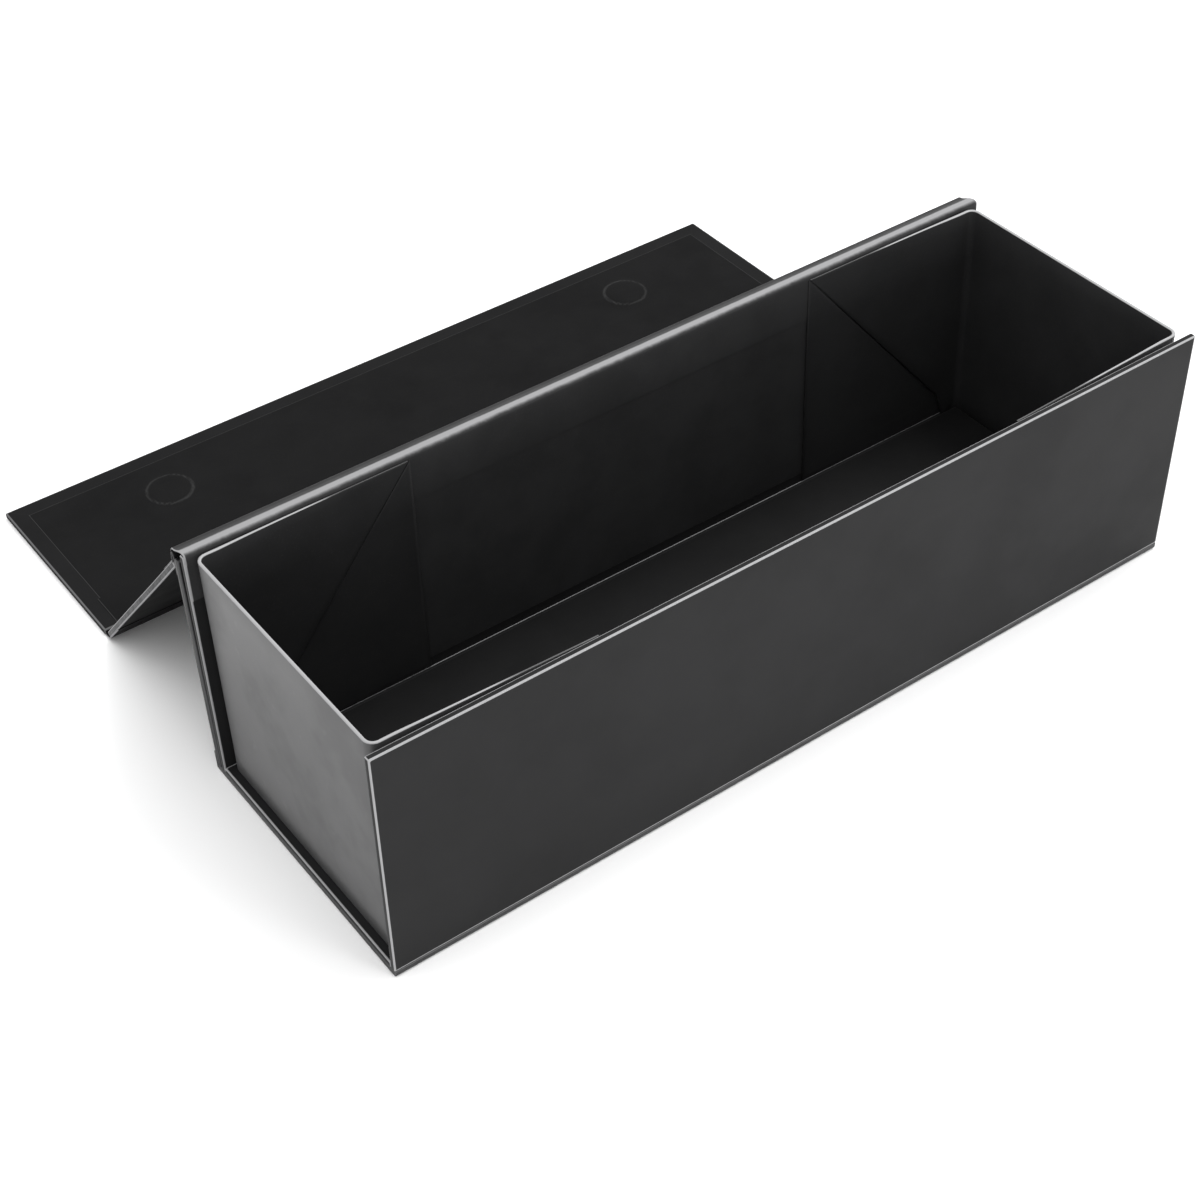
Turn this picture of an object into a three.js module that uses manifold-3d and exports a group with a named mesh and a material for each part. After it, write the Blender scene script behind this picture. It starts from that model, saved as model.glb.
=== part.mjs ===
// A long card storage box: a collapsible tray inside a book-style cover with a magnetic flap.
// Millimetres, +Z up. X runs along the box, +Y towards the lid's hinge. The origin is the centre
// of the underside of the box itself. The lid is thrown back, and its flap lies flat behind it.
import * as THREE from 'three';
import { mergeVertices } from 'three/addons/utils/BufferGeometryUtils.js';
import Module from 'manifold-3d';

const wasm = await Module();
wasm.setup();

// Driving dimensions of the box.
const LENGTH = 350;
const DEPTH = 117;
const HEIGHT = 100;

// A panel is a greyboard core in wrapping paper, with a lining sheet on its inner side.
const PAPER = 0.3;
const SLIP = 0.1;
const BOARD = 1.2;
const TURN_IN = 15;
const LINING_INSET = 6;
const BOARD_FROM = PAPER + SLIP;
const TURN_IN_FROM = BOARD_FROM + BOARD + SLIP;
const WRAPPED = TURN_IN_FROM + PAPER;
const PANEL = WRAPPED + SLIP + PAPER;

// The spine and the tray's back lean out, with a wedge of air between them.
const BACK_GAP = 1;
const SPINE_LEAN = 3.8;
const TRAY_BACK_LEAN = 2;
const SPINE_HEIGHT = 93;
const TRAY_BACK_HEIGHT = 98;

// Lid and flap. Each turns in a strip of paper, on an axis that lies inside the strip.
const LID_AXIS_Y = 64.2;
const LID_AXIS_Z = 98.4;
const LID_RISE = 3.3;
const LID_FROM_AXIS = 4.2;
const HINGE_HALF_GAP = 1.2;
const STRIP_LAP = 4;
const FOLD_DEPTH = 0.5;
const FOLD_HALF_GAP = 2.6;
const FOLD_STRIP_GAP = 0.8;
const FOLD_LAP = 6;
const FLAP_LENGTH = 90;
const FLAP_CLEARANCE = 1.2;

// Lining paper over the tops of the tray's back and the spine, ending short of the lid's axis.
const RIM_RISE = 0.6;
const RIM_INNER_Y = 54.7;
const RIM_FLAT = 2.3;
const RIM_DROP = 2.2;
const RIM_OUTER_Y = 61.2;
const HINGE_END_Y = 62.6;
const HINGE_END_DROP = 2.8;
const RIM_INSET = 0.5;

// Magnets in the flap and keepers in the front board.
const MAGNET_RADIUS = 9.8;
const DISC_SIDES = 40;
const POCKET_CLEARANCE = 0.2;
const MAGNET_FROM_END = 60;
const MAGNET_FROM_FOLD = 63;
const KEEPER_FROM_TOP = 59.4;

// End walls and the gussets that join them to the long walls.
const END_WALL = 1.2;
const END_RECESS = 3.2;
const CORNER_RADIUS = 4;
const CORNER_TAIL = 5;
const CORNER_STEPS = 6;
const END_FRONT_Y = -53.9;
const END_BACK_Y = 51.8;
const GUSSET = 0.7;
const GUSSET_TIP = 86.5;
const GUSSET_FOOT = 7;
const GUSSET_START = 13;
const GUSSET_LIFT = 0.25;
const GUSSET_BOTTOM = 0.3;
const GUSSET_REACH = 10;
const CREASE_GAP = 0.8;
const TAPE = 0.15;
const TAPE_FROM_END = 54;
const TAPE_LENGTH = 22;
const TAPE_WIDTH = 8;
const TAPE_DROP = 2;

// Loose floor insert.
const INSERT = 1.6;
const INSERT_GAP = 0.9;

const half = LENGTH / 2;
const frontY = -DEPTH / 2;
const backY = DEPTH / 2;
const trayZ = WRAPPED + SLIP;
const floorZ = trayZ + PANEL;
const trayBackY = backY - PANEL - BACK_GAP;
const upright = Math.PI / 2;

const board = material(0x6f675d, 0.9);
const wrap = material(0x2b2c2e, 0.55);
const lining = material(0x1c1d1f, 0.75);
const gusset = material(0x202123, 0.7);
const magnet = material(0xb9bcc0, 0.3, 1);
const keeper = material(0x9a9c9e, 0.35, 1);
const tape = material(0xd8d2bd, 0.6);

function material(color, roughness, metalness = 0) {
  return new THREE.MeshStandardMaterial({ color, roughness, metalness });
}

function add(parent, name, geometry, look) {
  const mesh = new THREE.Mesh(geometry, look);
  mesh.name = name;
  parent.add(mesh);
}

function group(parent, y, z, turn = 0) {
  const made = new THREE.Group();
  made.position.set(0, y, z);
  made.rotation.x = turn;
  parent.add(made);
  return made;
}

// A box-shaped solid between two corners.
function slab(x0, x1, y0, y1, z0, z1) {
  const geometry = new THREE.BoxGeometry(x1 - x0, y1 - y0, z1 - z0);
  return geometry.translate((x0 + x1) / 2, (y0 + y1) / 2, (z0 + z1) / 2);
}

// An outline in X and Y, raised from z0 to z1.
function plate(points, z0, z1) {
  const geometry = new THREE.ExtrudeGeometry(new THREE.Shape(points), {
    depth: z1 - z0,
    bevelEnabled: false,
  });
  return geometry.translate(0, 0, z0);
}

// The same, with the outline in other axes: across and up are where its x and y go.
function drawn(points, from, to, across, up) {
  const along = new THREE.Vector3().crossVectors(across, up);
  const turn = new THREE.Matrix4().makeBasis(across, up, along);
  return plate(points, from, to).applyMatrix4(turn);
}

const axisX = new THREE.Vector3(1, 0, 0);
const axisY = new THREE.Vector3(0, 1, 0);
const axisZ = new THREE.Vector3(0, 0, 1);

// An outline in Y and Z, drawn along the whole length of the box.
function lengthwise(points, inset = 0) {
  return drawn(points, inset - half, half - inset, axisY, axisZ);
}

// A sheet's section: a line of [across, up] points and its copy, offset to the line's left.
function ribbon(line, thickness) {
  const path = line.map(([across, up]) => new THREE.Vector2(across, up));
  const offset = path.map((point, i) => {
    const before = path[Math.max(i - 1, 0)];
    const after = path[Math.min(i + 1, path.length - 1)];
    const into = i > 0 ? point.clone().sub(before).normalize() : null;
    const out = i < path.length - 1 ? after.clone().sub(point).normalize() : into;
    const mean = out.clone().add(into ?? out).normalize();
    const stretch = mean.dot(out);
    return new THREE.Vector2(-mean.y, mean.x).multiplyScalar(thickness / stretch).add(point);
  });
  return [...path, ...offset.reverse()];
}

function disc(radius, x, y, z0, z1) {
  const geometry = new THREE.CylinderGeometry(radius, radius, z1 - z0, DISC_SIDES);
  return geometry.rotateX(upright).translate(x, y, (z0 + z1) / 2);
}

function solid(geometry) {
  const bare = geometry.clone();
  bare.deleteAttribute('normal');
  bare.deleteAttribute('uv');
  const merged = mergeVertices(bare);
  return new wasm.Manifold(new wasm.Mesh({
    numProp: 3,
    vertProperties: new Float32Array(merged.attributes.position.array),
    triVerts: new Uint32Array(merged.index.array),
  }));
}

function geometryOf(body) {
  const mesh = body.getMesh();
  const made = new THREE.BufferGeometry();
  made.setAttribute('position', new THREE.Float32BufferAttribute(mesh.vertProperties, 3));
  made.setIndex(Array.from(mesh.triVerts));
  made.computeVertexNormals();
  return made;
}

function cut(geometry, ...tools) {
  return geometryOf(tools.reduce((body, tool) => body.subtract(solid(tool)), solid(geometry)));
}

function common(geometry, other) {
  return geometryOf(solid(geometry).intersect(solid(other)));
}

// Wrapping paper covers the outer face, turns over the four edges and onto the inner face.
function wrapping(y0, y1) {
  const x = half - PAPER;
  const open = half - TURN_IN;
  return cut(
    slab(-half, half, y0, y1, 0, WRAPPED),
    slab(-x, x, y0 + PAPER, y1 - PAPER, PAPER, TURN_IN_FROM),
    slab(-open, open, y0 + TURN_IN, y1 - TURN_IN, PAPER, PANEL),
  );
}

function core(y0, y1, pocketY) {
  const x = half - BOARD_FROM;
  const sheet = slab(-x, x, y0 + BOARD_FROM, y1 - BOARD_FROM, BOARD_FROM, BOARD_FROM + BOARD);
  if (pocketY === undefined) {
    return sheet;
  }
  const pocket = (side) => disc(
    MAGNET_RADIUS + POCKET_CLEARANCE, side * (half - MAGNET_FROM_END), pocketY, 0, PANEL,
  );
  return cut(sheet, pocket(-1), pocket(1));
}

// One panel. In its own group Z 0 is its outer face, and Y runs across it from y0 to y1.
function panel(parent, name, y0, y1, { pocketY, bare = false } = {}) {
  add(parent, `${name}_wrap`, wrapping(y0, y1), wrap);
  add(parent, `${name}_board`, core(y0, y1, pocketY), board);
  if (!bare) {
    const x = half - LINING_INSET;
    const sheet = slab(-x, x, y0 + LINING_INSET, y1 - LINING_INSET, PANEL - PAPER, PANEL);
    add(parent, `${name}_lining`, sheet, lining);
  }
}

function magnetPair(parent, name, y, look) {
  for (const [place, side] of [['left', -1], ['right', 1]]) {
    const x = side * (half - MAGNET_FROM_END);
    const shape = disc(MAGNET_RADIUS, x, y, BOARD_FROM, BOARD_FROM + BOARD);
    add(parent, `${place}_${name}`, shape, look);
  }
}

// Both gussets of one long wall. The wall's own Z runs inwards from its outer face. heights are
// the gussets' bottom and top in its own Y. Below the diagonal crease a gusset lies flat on the
// wall, and above it is taped to the wall near its tip and stands off, to reach the end wall at
// cornerZ.
function gussets(parent, wall, [bottom, top], cornerZ) {
  const rise = Math.sign(top - bottom);
  const slope = (top - bottom) / (GUSSET_TIP - GUSSET_FOOT);
  const nearZ = PANEL + GUSSET_LIFT;
  for (const [place, side] of [['left', -1], ['right', 1]]) {
    const at = (fromEnd) => side * (half - fromEnd);
    const point = (fromEnd, y) => new THREE.Vector2(at(fromEnd), y);
    const lower = [point(GUSSET_FOOT, bottom), point(GUSSET_TIP, bottom), point(GUSSET_TIP, top)];
    add(parent, `${place}_${wall}_gusset_lower`,
      plate(lower, PANEL + SLIP, PANEL + SLIP + GUSSET), gusset);

    const startY = bottom + slope * (GUSSET_START - GUSSET_FOOT) + rise * CREASE_GAP;
    const tip = GUSSET_TIP - CREASE_GAP;
    const outline = [point(GUSSET_START, startY), point(tip, top), point(GUSSET_START, top)];
    const plan = [[at(GUSSET_START), cornerZ], [at(GUSSET_TIP), nearZ]];
    const sheet = drawn(ribbon(plan, -side * GUSSET), -HEIGHT, HEIGHT, axisX, axisZ);
    add(parent, `${place}_${wall}_gusset_upper`,
      common(plate(outline, 0, GUSSET_REACH), sheet), gusset);

    const tapeX = [at(TAPE_FROM_END), at(TAPE_FROM_END + TAPE_LENGTH)].sort((a, b) => a - b);
    const tapeY = [top - rise * TAPE_DROP, top - rise * (TAPE_DROP + TAPE_WIDTH)];
    tapeY.sort((a, b) => a - b);
    const tapeZ = PANEL + SLIP;
    add(parent, `${place}_${wall}_gusset_tape`,
      slab(...tapeX, ...tapeY, tapeZ, tapeZ + TAPE), tape);
  }
}

// An end wall in plan, with a rounded corner and a short tail at each end. Its back edge leans
// with the tray's back.
function endWall(parent, place, side) {
  const outer = half - END_RECESS;
  const section = (inset) => {
    const radius = CORNER_RADIUS - inset;
    const x = outer - inset;
    const [y0, y1] = [END_FRONT_Y + inset, END_BACK_Y - inset];
    const path = new THREE.Path();
    path.moveTo(outer - CORNER_RADIUS - CORNER_TAIL, y0);
    path.absarc(x - radius, y0 + radius, radius, -upright, 0);
    path.absarc(x - radius, y1 - radius, radius, 0, upright);
    path.lineTo(outer - CORNER_RADIUS - CORNER_TAIL, y1);
    return path.getPoints(CORNER_STEPS);
  };
  const outline = [...section(0), ...section(END_WALL).reverse()];
  const bracket = plate(outline.map((p) => new THREE.Vector2(p.x, side * p.y)),
    floorZ + SLIP, HEIGHT);
  const placed = side < 0 ? bracket.rotateZ(Math.PI) : bracket;
  const lean = TRAY_BACK_LEAN / TRAY_BACK_HEIGHT;
  const points = placed.attributes.position;
  for (let i = 0; i < points.count; i += 1) {
    if (points.getY(i) > 0) {
      points.setY(i, points.getY(i) + lean * (points.getZ(i) - floorZ));
    }
  }
  placed.computeVertexNormals();
  add(parent, `${place}_end_wall`, placed, gusset);
}

function cover(parent) {
  panel(parent, 'cover_base', frontY, backY, { bare: true });

  const spineTurn = Math.atan(SPINE_LEAN / SPINE_HEIGHT);
  const spine = group(parent, backY, trayZ, upright - spineTurn);
  panel(spine, 'spine', 0, SPINE_HEIGHT, { bare: true });

  const foldY = backY + SLIP;
  const foldPath = [
    [foldY + PAPER + FOLD_LAP * Math.sin(spineTurn), trayZ + FOLD_LAP],
    [foldY + PAPER, trayZ],
    [foldY + PAPER, PAPER],
  ];
  add(parent, 'base_spine_fold', lengthwise(ribbon(foldPath, -PAPER)), wrap);
}

function tray(parent) {
  const front = group(parent, frontY, HEIGHT, -upright);
  panel(front, 'tray_front', 0, HEIGHT - trayZ, { pocketY: KEEPER_FROM_TOP });
  magnetPair(front, 'keeper', KEEPER_FROM_TOP, keeper);

  const base = group(parent, 0, trayZ);
  panel(base, 'tray_base', frontY + PANEL + SLIP, trayBackY - PANEL - SLIP);

  const backTurn = Math.atan(TRAY_BACK_LEAN / TRAY_BACK_HEIGHT);
  const back = group(parent, trayBackY, trayZ, upright - backTurn);
  panel(back, 'tray_back', 0, TRAY_BACK_HEIGHT);

  const foot = floorZ + GUSSET_BOTTOM;
  const frontCorner = END_FRONT_Y - frontY;
  const backCorner = trayBackY - END_BACK_Y + SLIP;
  gussets(front, 'front', [HEIGHT - foot, GUSSET_BOTTOM], frontCorner);
  gussets(back, 'back', [foot - trayZ, HEIGHT - GUSSET_BOTTOM - trayZ], backCorner);

  endWall(parent, 'left', -1);
  endWall(parent, 'right', 1);

  const insertX = half - END_RECESS - END_WALL - INSERT_GAP;
  const insertZ = floorZ + SLIP;
  add(parent, 'floor_insert', slab(-insertX, insertX, END_FRONT_Y + END_WALL + INSERT_GAP,
    END_BACK_Y - END_WALL - INSERT_GAP, insertZ, insertZ + INSERT), lining);

  const rimZ = trayZ + TRAY_BACK_HEIGHT + RIM_RISE;
  const rimPath = [
    [HINGE_END_Y, rimZ - HINGE_END_DROP],
    [RIM_OUTER_Y, rimZ - RIM_DROP],
    [RIM_INNER_Y + RIM_FLAT, rimZ],
    [RIM_INNER_Y, rimZ],
  ];
  add(parent, 'back_rim_lining', lengthwise(ribbon(rimPath, PAPER), RIM_INSET), lining);
}

function lidAndFlap(parent) {
  const reach = LID_AXIS_Y - frontY + FLAP_CLEARANCE + (PANEL - FOLD_DEPTH);
  const axisDepth = LID_RISE + PANEL - FOLD_DEPTH;
  const slope = Math.asin((LID_AXIS_Z - FOLD_DEPTH) / Math.hypot(reach, axisDepth))
    - Math.atan(axisDepth / reach);
  const lid = group(parent, LID_AXIS_Y, LID_AXIS_Z, -slope);

  const lidPanel = group(lid, 0, -LID_RISE - PANEL);
  panel(lidPanel, 'lid', LID_FROM_AXIS, reach - FOLD_HALF_GAP);
  const stripPath = [[HINGE_HALF_GAP, -PAPER], [LID_FROM_AXIS, SLIP + PAPER - LID_RISE],
    [LID_FROM_AXIS + STRIP_LAP, SLIP + PAPER - LID_RISE]];
  add(lid, 'lid_hinge_strip', lengthwise(ribbon(stripPath, -PAPER), LINING_INSET), lining);
  add(lidPanel, 'lid_fold_strip', slab(-half, half, reach - FOLD_HALF_GAP + SLIP,
    reach - FOLD_STRIP_GAP, 0, PAPER), wrap);

  const flap = group(lid, reach, -axisDepth, slope);
  const flapPanel = group(flap, 0, -FOLD_DEPTH);
  panel(flapPanel, 'flap', FOLD_HALF_GAP, FLAP_LENGTH, { pocketY: MAGNET_FROM_FOLD });
  magnetPair(flapPanel, 'flap_magnet', MAGNET_FROM_FOLD, magnet);
  add(flapPanel, 'flap_fold_strip', slab(-half, half, FOLD_STRIP_GAP,
    FOLD_HALF_GAP - SLIP, 0, PAPER), wrap);
}

const box = new THREE.Group();
cover(box);
tray(box);
lidAndFlap(box);

export default box;
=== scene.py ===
import math

import bpy
from mathutils import Matrix, Vector, noise

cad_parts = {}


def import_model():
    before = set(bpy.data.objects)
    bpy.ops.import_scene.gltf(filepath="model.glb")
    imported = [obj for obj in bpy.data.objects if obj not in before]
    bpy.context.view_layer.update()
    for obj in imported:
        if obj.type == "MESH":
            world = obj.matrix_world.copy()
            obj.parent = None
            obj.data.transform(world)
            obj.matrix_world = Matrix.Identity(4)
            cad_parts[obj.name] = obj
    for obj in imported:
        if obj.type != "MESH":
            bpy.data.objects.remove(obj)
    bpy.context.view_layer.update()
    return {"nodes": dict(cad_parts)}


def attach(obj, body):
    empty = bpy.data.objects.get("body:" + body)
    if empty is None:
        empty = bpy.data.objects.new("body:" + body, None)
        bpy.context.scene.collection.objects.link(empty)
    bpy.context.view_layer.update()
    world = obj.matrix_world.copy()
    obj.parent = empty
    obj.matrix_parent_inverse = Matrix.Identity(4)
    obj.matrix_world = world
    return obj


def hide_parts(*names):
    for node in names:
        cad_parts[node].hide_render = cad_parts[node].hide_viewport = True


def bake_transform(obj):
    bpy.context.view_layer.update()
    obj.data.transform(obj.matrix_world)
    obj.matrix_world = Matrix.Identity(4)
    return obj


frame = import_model()
cadNodes = frame["nodes"]
mm = 0.001
print("frame loaded,", len(cadNodes), "CAD nodes")


# shader helpers

def newGroup(name, inputs, outputs):
    tree = bpy.data.node_groups.new(name, "ShaderNodeTree")
    for label, kind, value in inputs:
        socket = tree.interface.new_socket(label, in_out="INPUT", socket_type=kind)
        if value is not None:
            socket.default_value = value
    for label, kind in outputs:
        tree.interface.new_socket(label, in_out="OUTPUT", socket_type=kind)
    start = tree.nodes.new("NodeGroupInput")
    end = tree.nodes.new("NodeGroupOutput")
    start.location = (-900, 0)
    end.location = (700, 0)
    return tree, start, end


def addNode(tree, kind, x=0, y=0, **settings):
    node = tree.nodes.new(kind)
    node.location = (x, y)
    for key, value in settings.items():
        setattr(node, key, value)
    return node


def mathNode(tree, operation, first, second=None, x=0, y=0, clamp=False):
    node = addNode(tree, "ShaderNodeMath", x, y, operation=operation, use_clamp=clamp)
    for index, value in enumerate((first, second)):
        if value is None:
            continue
        if isinstance(value, (int, float)):
            node.inputs[index].default_value = value
        else:
            tree.links.new(value, node.inputs[index])
    return node.outputs[0]


def rampNode(tree, value, low, high, outLow=0.0, outHigh=1.0, x=0, y=0):
    node = addNode(tree, "ShaderNodeMapRange", x, y, interpolation_type="SMOOTHSTEP")
    tree.links.new(value, node.inputs["Value"])
    node.inputs["From Min"].default_value = low
    node.inputs["From Max"].default_value = high
    node.inputs["To Min"].default_value = outLow
    node.inputs["To Max"].default_value = outHigh
    return node.outputs["Result"]


def noiseNode(tree, vector, scale, detail=4.0, rough=0.55, x=0, y=0):
    node = addNode(tree, "ShaderNodeTexNoise", x, y)
    tree.links.new(vector, node.inputs["Vector"])
    node.inputs["Detail"].default_value = detail
    node.inputs["Roughness"].default_value = rough
    if isinstance(scale, (int, float)):
        node.inputs["Scale"].default_value = scale
    else:
        tree.links.new(scale, node.inputs["Scale"])
    return node.outputs["Fac"]


# fine tooth of laminated paper, and slow mottling of its black
def makePaperGrain():
    tree, start, end = newGroup(
        "paperGrain",
        [("Vector", "NodeSocketVector", None), ("Grain Scale", "NodeSocketFloat", 2600.0),
         ("Mottle Scale", "NodeSocketFloat", 26.0)],
        [("Height", "NodeSocketFloat"), ("Mottle", "NodeSocketFloat"), ("Speckle", "NodeSocketFloat")])
    vector = start.outputs["Vector"]
    fine = noiseNode(tree, vector, start.outputs["Grain Scale"], 3.0, 0.6, -600, 200)
    stretched = addNode(tree, "ShaderNodeMapping", -780, -60)
    tree.links.new(vector, stretched.inputs["Vector"])
    stretched.inputs["Scale"].default_value = (0.35, 1.0, 1.0)
    fibre = noiseNode(tree, stretched.outputs["Vector"], 900.0, 2.0, 0.5, -600, -20)
    peel = noiseNode(tree, vector, 420.0, 2.0, 0.5, -600, -240)
    height = mathNode(tree, "ADD", mathNode(tree, "MULTIPLY", fine, 0.5, -380, 200),
                      mathNode(tree, "MULTIPLY", fibre, 0.3, -380, 0), -180, 100)
    height = mathNode(tree, "ADD", height, mathNode(tree, "MULTIPLY", peel, 0.35, -380, -200), 20, 60)
    tree.links.new(height, end.inputs["Height"])
    slow = noiseNode(tree, vector, start.outputs["Mottle Scale"], 5.0, 0.6, -600, -460)
    tree.links.new(rampNode(tree, slow, 0.32, 0.68, x=-300, y=-460), end.inputs["Mottle"])
    tree.links.new(rampNode(tree, fine, 0.58, 0.72, x=-300, y=-700), end.inputs["Speckle"])
    return tree


# painted highlight along an edge: a solid line at the very edge that breaks up away from it
def makeEdgeHighlight():
    tree, start, end = newGroup(
        "edgeHighlight",
        [("Vector", "NodeSocketVector", None), ("Edge", "NodeSocketFloat", 0.0),
         ("Width", "NodeSocketFloat", 0.5)],
        [("Mask", "NodeSocketFloat")])
    breakUp = noiseNode(tree, start.outputs["Vector"], 380.0, 4.0, 0.65, -600, -100)
    wide = noiseNode(tree, start.outputs["Vector"], 34.0, 3.0, 0.5, -600, -320)
    wobble = mathNode(tree, "MULTIPLY", mathNode(tree, "SUBTRACT", breakUp, 0.5, -400, -100), 0.16,
                      -220, -100)
    drift = mathNode(tree, "MULTIPLY", mathNode(tree, "SUBTRACT", wide, 0.5, -400, -320), 0.14,
                     -220, -320)
    reach = mathNode(tree, "ADD", mathNode(tree, "ADD", start.outputs["Edge"], wobble, -40, 0), drift,
                     120, 0)
    over = mathNode(tree, "SUBTRACT", reach, mathNode(tree, "SUBTRACT", 1.0, start.outputs["Width"],
                                                      -40, 200), 280, 60)
    tree.links.new(rampNode(tree, over, 0.0, 0.34, x=450, y=60), end.inputs["Mask"])
    return tree


# finger marks and rub lines, which change the gloss and hardly the colour
def makeHandling():
    tree, start, end = newGroup(
        "handlingMarks",
        [("Vector", "NodeSocketVector", None), ("Scale", "NodeSocketFloat", 18.0)],
        [("Smudge", "NodeSocketFloat"), ("Rub", "NodeSocketFloat")])
    cloud = noiseNode(tree, start.outputs["Vector"], start.outputs["Scale"], 4.0, 0.6, -600, 100)
    tree.links.new(rampNode(tree, cloud, 0.40, 0.66, x=-300, y=100), end.inputs["Smudge"])
    long = addNode(tree, "ShaderNodeMapping", -780, -200)
    tree.links.new(start.outputs["Vector"], long.inputs["Vector"])
    long.inputs["Rotation"].default_value = (0.3, 0.5, 0.6)
    long.inputs["Scale"].default_value = (8.0, 150.0, 150.0)
    lines = noiseNode(tree, long.outputs["Vector"], 1.0, 2.0, 0.5, -600, -200)
    tree.links.new(rampNode(tree, lines, 0.64, 0.76, x=-300, y=-200), end.inputs["Rub"])
    return tree


# paper turned in over the board's edges: its lip shows through the lining, and its mitre at a corner
def makeTurnIn():
    tree, start, end = newGroup(
        "turnIn",
        [("Place", "NodeSocketVector", None), ("Lip", "NodeSocketFloat", 15.0)],
        [("Height", "NodeSocketFloat"), ("Line", "NodeSocketFloat")])
    split = addNode(tree, "ShaderNodeSeparateXYZ", -700, 0)
    tree.links.new(start.outputs["Place"], split.inputs[0])
    fromEnd, fromSide = split.outputs[0], split.outputs[1]
    nearest = mathNode(tree, "MINIMUM", fromEnd, fromSide, -500, 100)
    past = mathNode(tree, "SUBTRACT", nearest, start.outputs["Lip"], -320, 100)
    step = rampNode(tree, past, -0.6, 0.6, 1.0, 0.0, -140, 100)
    gap = mathNode(tree, "ABSOLUTE", mathNode(tree, "SUBTRACT", fromEnd, fromSide, -500, -120), None,
                   -320, -120)
    seam = rampNode(tree, gap, 0.15, 0.65, 1.0, 0.0, -140, -120)
    offFace = mathNode(tree, "ABSOLUTE", mathNode(tree, "SUBTRACT", split.outputs[2], 1.0, -500, -420),
                       None, -320, -420)
    innerFace = rampNode(tree, offFace, 0.1, 0.4, 1.0, 0.0, -140, -420)
    step = mathNode(tree, "MULTIPLY", step, innerFace, -20, 180)
    seam = mathNode(tree, "MULTIPLY", seam, step, 60, -60)
    tree.links.new(mathNode(tree, "SUBTRACT", step, mathNode(tree, "MULTIPLY", seam, 0.8, 240, -100),
                            400, 60), end.inputs["Height"])
    lip = rampNode(tree, mathNode(tree, "ABSOLUTE", past, None, -140, -300), 0.1, 0.9, 1.0, 0.0,
                   60, -300)
    lip = mathNode(tree, "MULTIPLY", lip, innerFace, 240, -300)
    tree.links.new(mathNode(tree, "MAXIMUM", lip, seam, 400, -200), end.inputs["Line"])
    return tree


paperGrain = makePaperGrain()
edgeHighlight = makeEdgeHighlight()
handlingMarks = makeHandling()
turnIn = makeTurnIn()


def placeGroup(tree, group, x, y, **values):
    node = addNode(tree, "ShaderNodeGroup", x, y)
    node.node_tree = group
    for key, value in values.items():
        node.inputs[key].default_value = value
    return node


def colourMix(tree, factor, first, second, x, y):
    node = addNode(tree, "ShaderNodeMix", x, y, data_type="RGBA")
    tree.links.new(factor, node.inputs["Factor"])
    for index, value in ((6, first), (7, second)):
        if isinstance(value, tuple):
            node.inputs[index].default_value = (*value, 1.0)
        else:
            tree.links.new(value, node.inputs[index])
    return node.outputs[2]


def paperMaterial(name, look):
    material = bpy.data.materials.new(name)
    material.use_nodes = True
    tree = material.node_tree
    shader = tree.nodes["Principled BSDF"]
    where = addNode(tree, "ShaderNodeTexCoord", -1500, 0).outputs["Object"]
    edge = addNode(tree, "ShaderNodeAttribute", -1500, -300, attribute_name="edge").outputs["Fac"]
    place = addNode(tree, "ShaderNodeAttribute", -1500, -600, attribute_name="boardPlace")
    grain = placeGroup(tree, paperGrain, -1200, 200, **{
        "Grain Scale": look["grainScale"], "Mottle Scale": look["mottleScale"]})
    paintedShine = placeGroup(tree, edgeHighlight, -1200, -100, Width=look["edgeHighlightWidth"])
    marks = placeGroup(tree, handlingMarks, -1200, -350, Scale=look["smudgeScale"])
    folded = placeGroup(tree, turnIn, -1200, -600, Lip=look["lip"])
    for node in (grain, paintedShine, marks):
        tree.links.new(where, node.inputs["Vector"])
    tree.links.new(edge, paintedShine.inputs["Edge"])
    tree.links.new(place.outputs["Vector"], folded.inputs["Place"])

    colour = colourMix(tree, grain.outputs["Mottle"], look["dark"], look["light"], -800, 300)
    speck = mathNode(tree, "MULTIPLY", grain.outputs["Speckle"], look["speckle"], -950, 60)
    colour = colourMix(tree, speck, colour, look["speckColour"], -600, 300)
    line = mathNode(tree, "MULTIPLY", folded.outputs["Line"], look["lineDark"], -950, -560)
    colour = colourMix(tree, line, colour, look["lineColour"], -420, 300)
    # painted highlight: the edge mask mixes a light colour into the base colour
    highlightMix = mathNode(tree, "MULTIPLY", paintedShine.outputs["Mask"], look["edgeHighlightAmount"], -950, -100)
    colour = colourMix(tree, highlightMix, colour, look["edgeHighlightColour"], -240, 300)
    tree.links.new(colour, shader.inputs["Base Color"])

    low, high = look["roughness"]
    gloss = rampNode(tree, marks.outputs["Smudge"], 0.0, 1.0, low, high, -800, -300)
    gloss = mathNode(tree, "ADD", gloss, mathNode(tree, "MULTIPLY", marks.outputs["Rub"],
                                                  look["rub"], -800, -450), -600, -300)
    gloss = mathNode(tree, "ADD", gloss, mathNode(tree, "MULTIPLY", paintedShine.outputs["Mask"],
                                                  look["edgeRough"], -800, -600), -420, -300, True)
    tree.links.new(gloss, shader.inputs["Roughness"])

    tooth = addNode(tree, "ShaderNodeBump", -500, -700)
    tooth.inputs["Strength"].default_value = look["toothStrength"]
    tooth.inputs["Distance"].default_value = look["toothDepth"] * mm
    tree.links.new(grain.outputs["Height"], tooth.inputs["Height"])
    lipBump = addNode(tree, "ShaderNodeBump", -300, -700)
    lipBump.inputs["Strength"].default_value = 1.05
    lipBump.inputs["Distance"].default_value = look["lipDepth"] * mm
    tree.links.new(folded.outputs["Height"], lipBump.inputs["Height"])
    tree.links.new(tooth.outputs["Normal"], lipBump.inputs["Normal"])
    tree.links.new(lipBump.outputs["Normal"], shader.inputs["Normal"])
    shader.inputs["Specular IOR Level"].default_value = look["specular"]
    return material


# the edge colour, amount and width in these looks paint a light highlight along the edges
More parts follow.
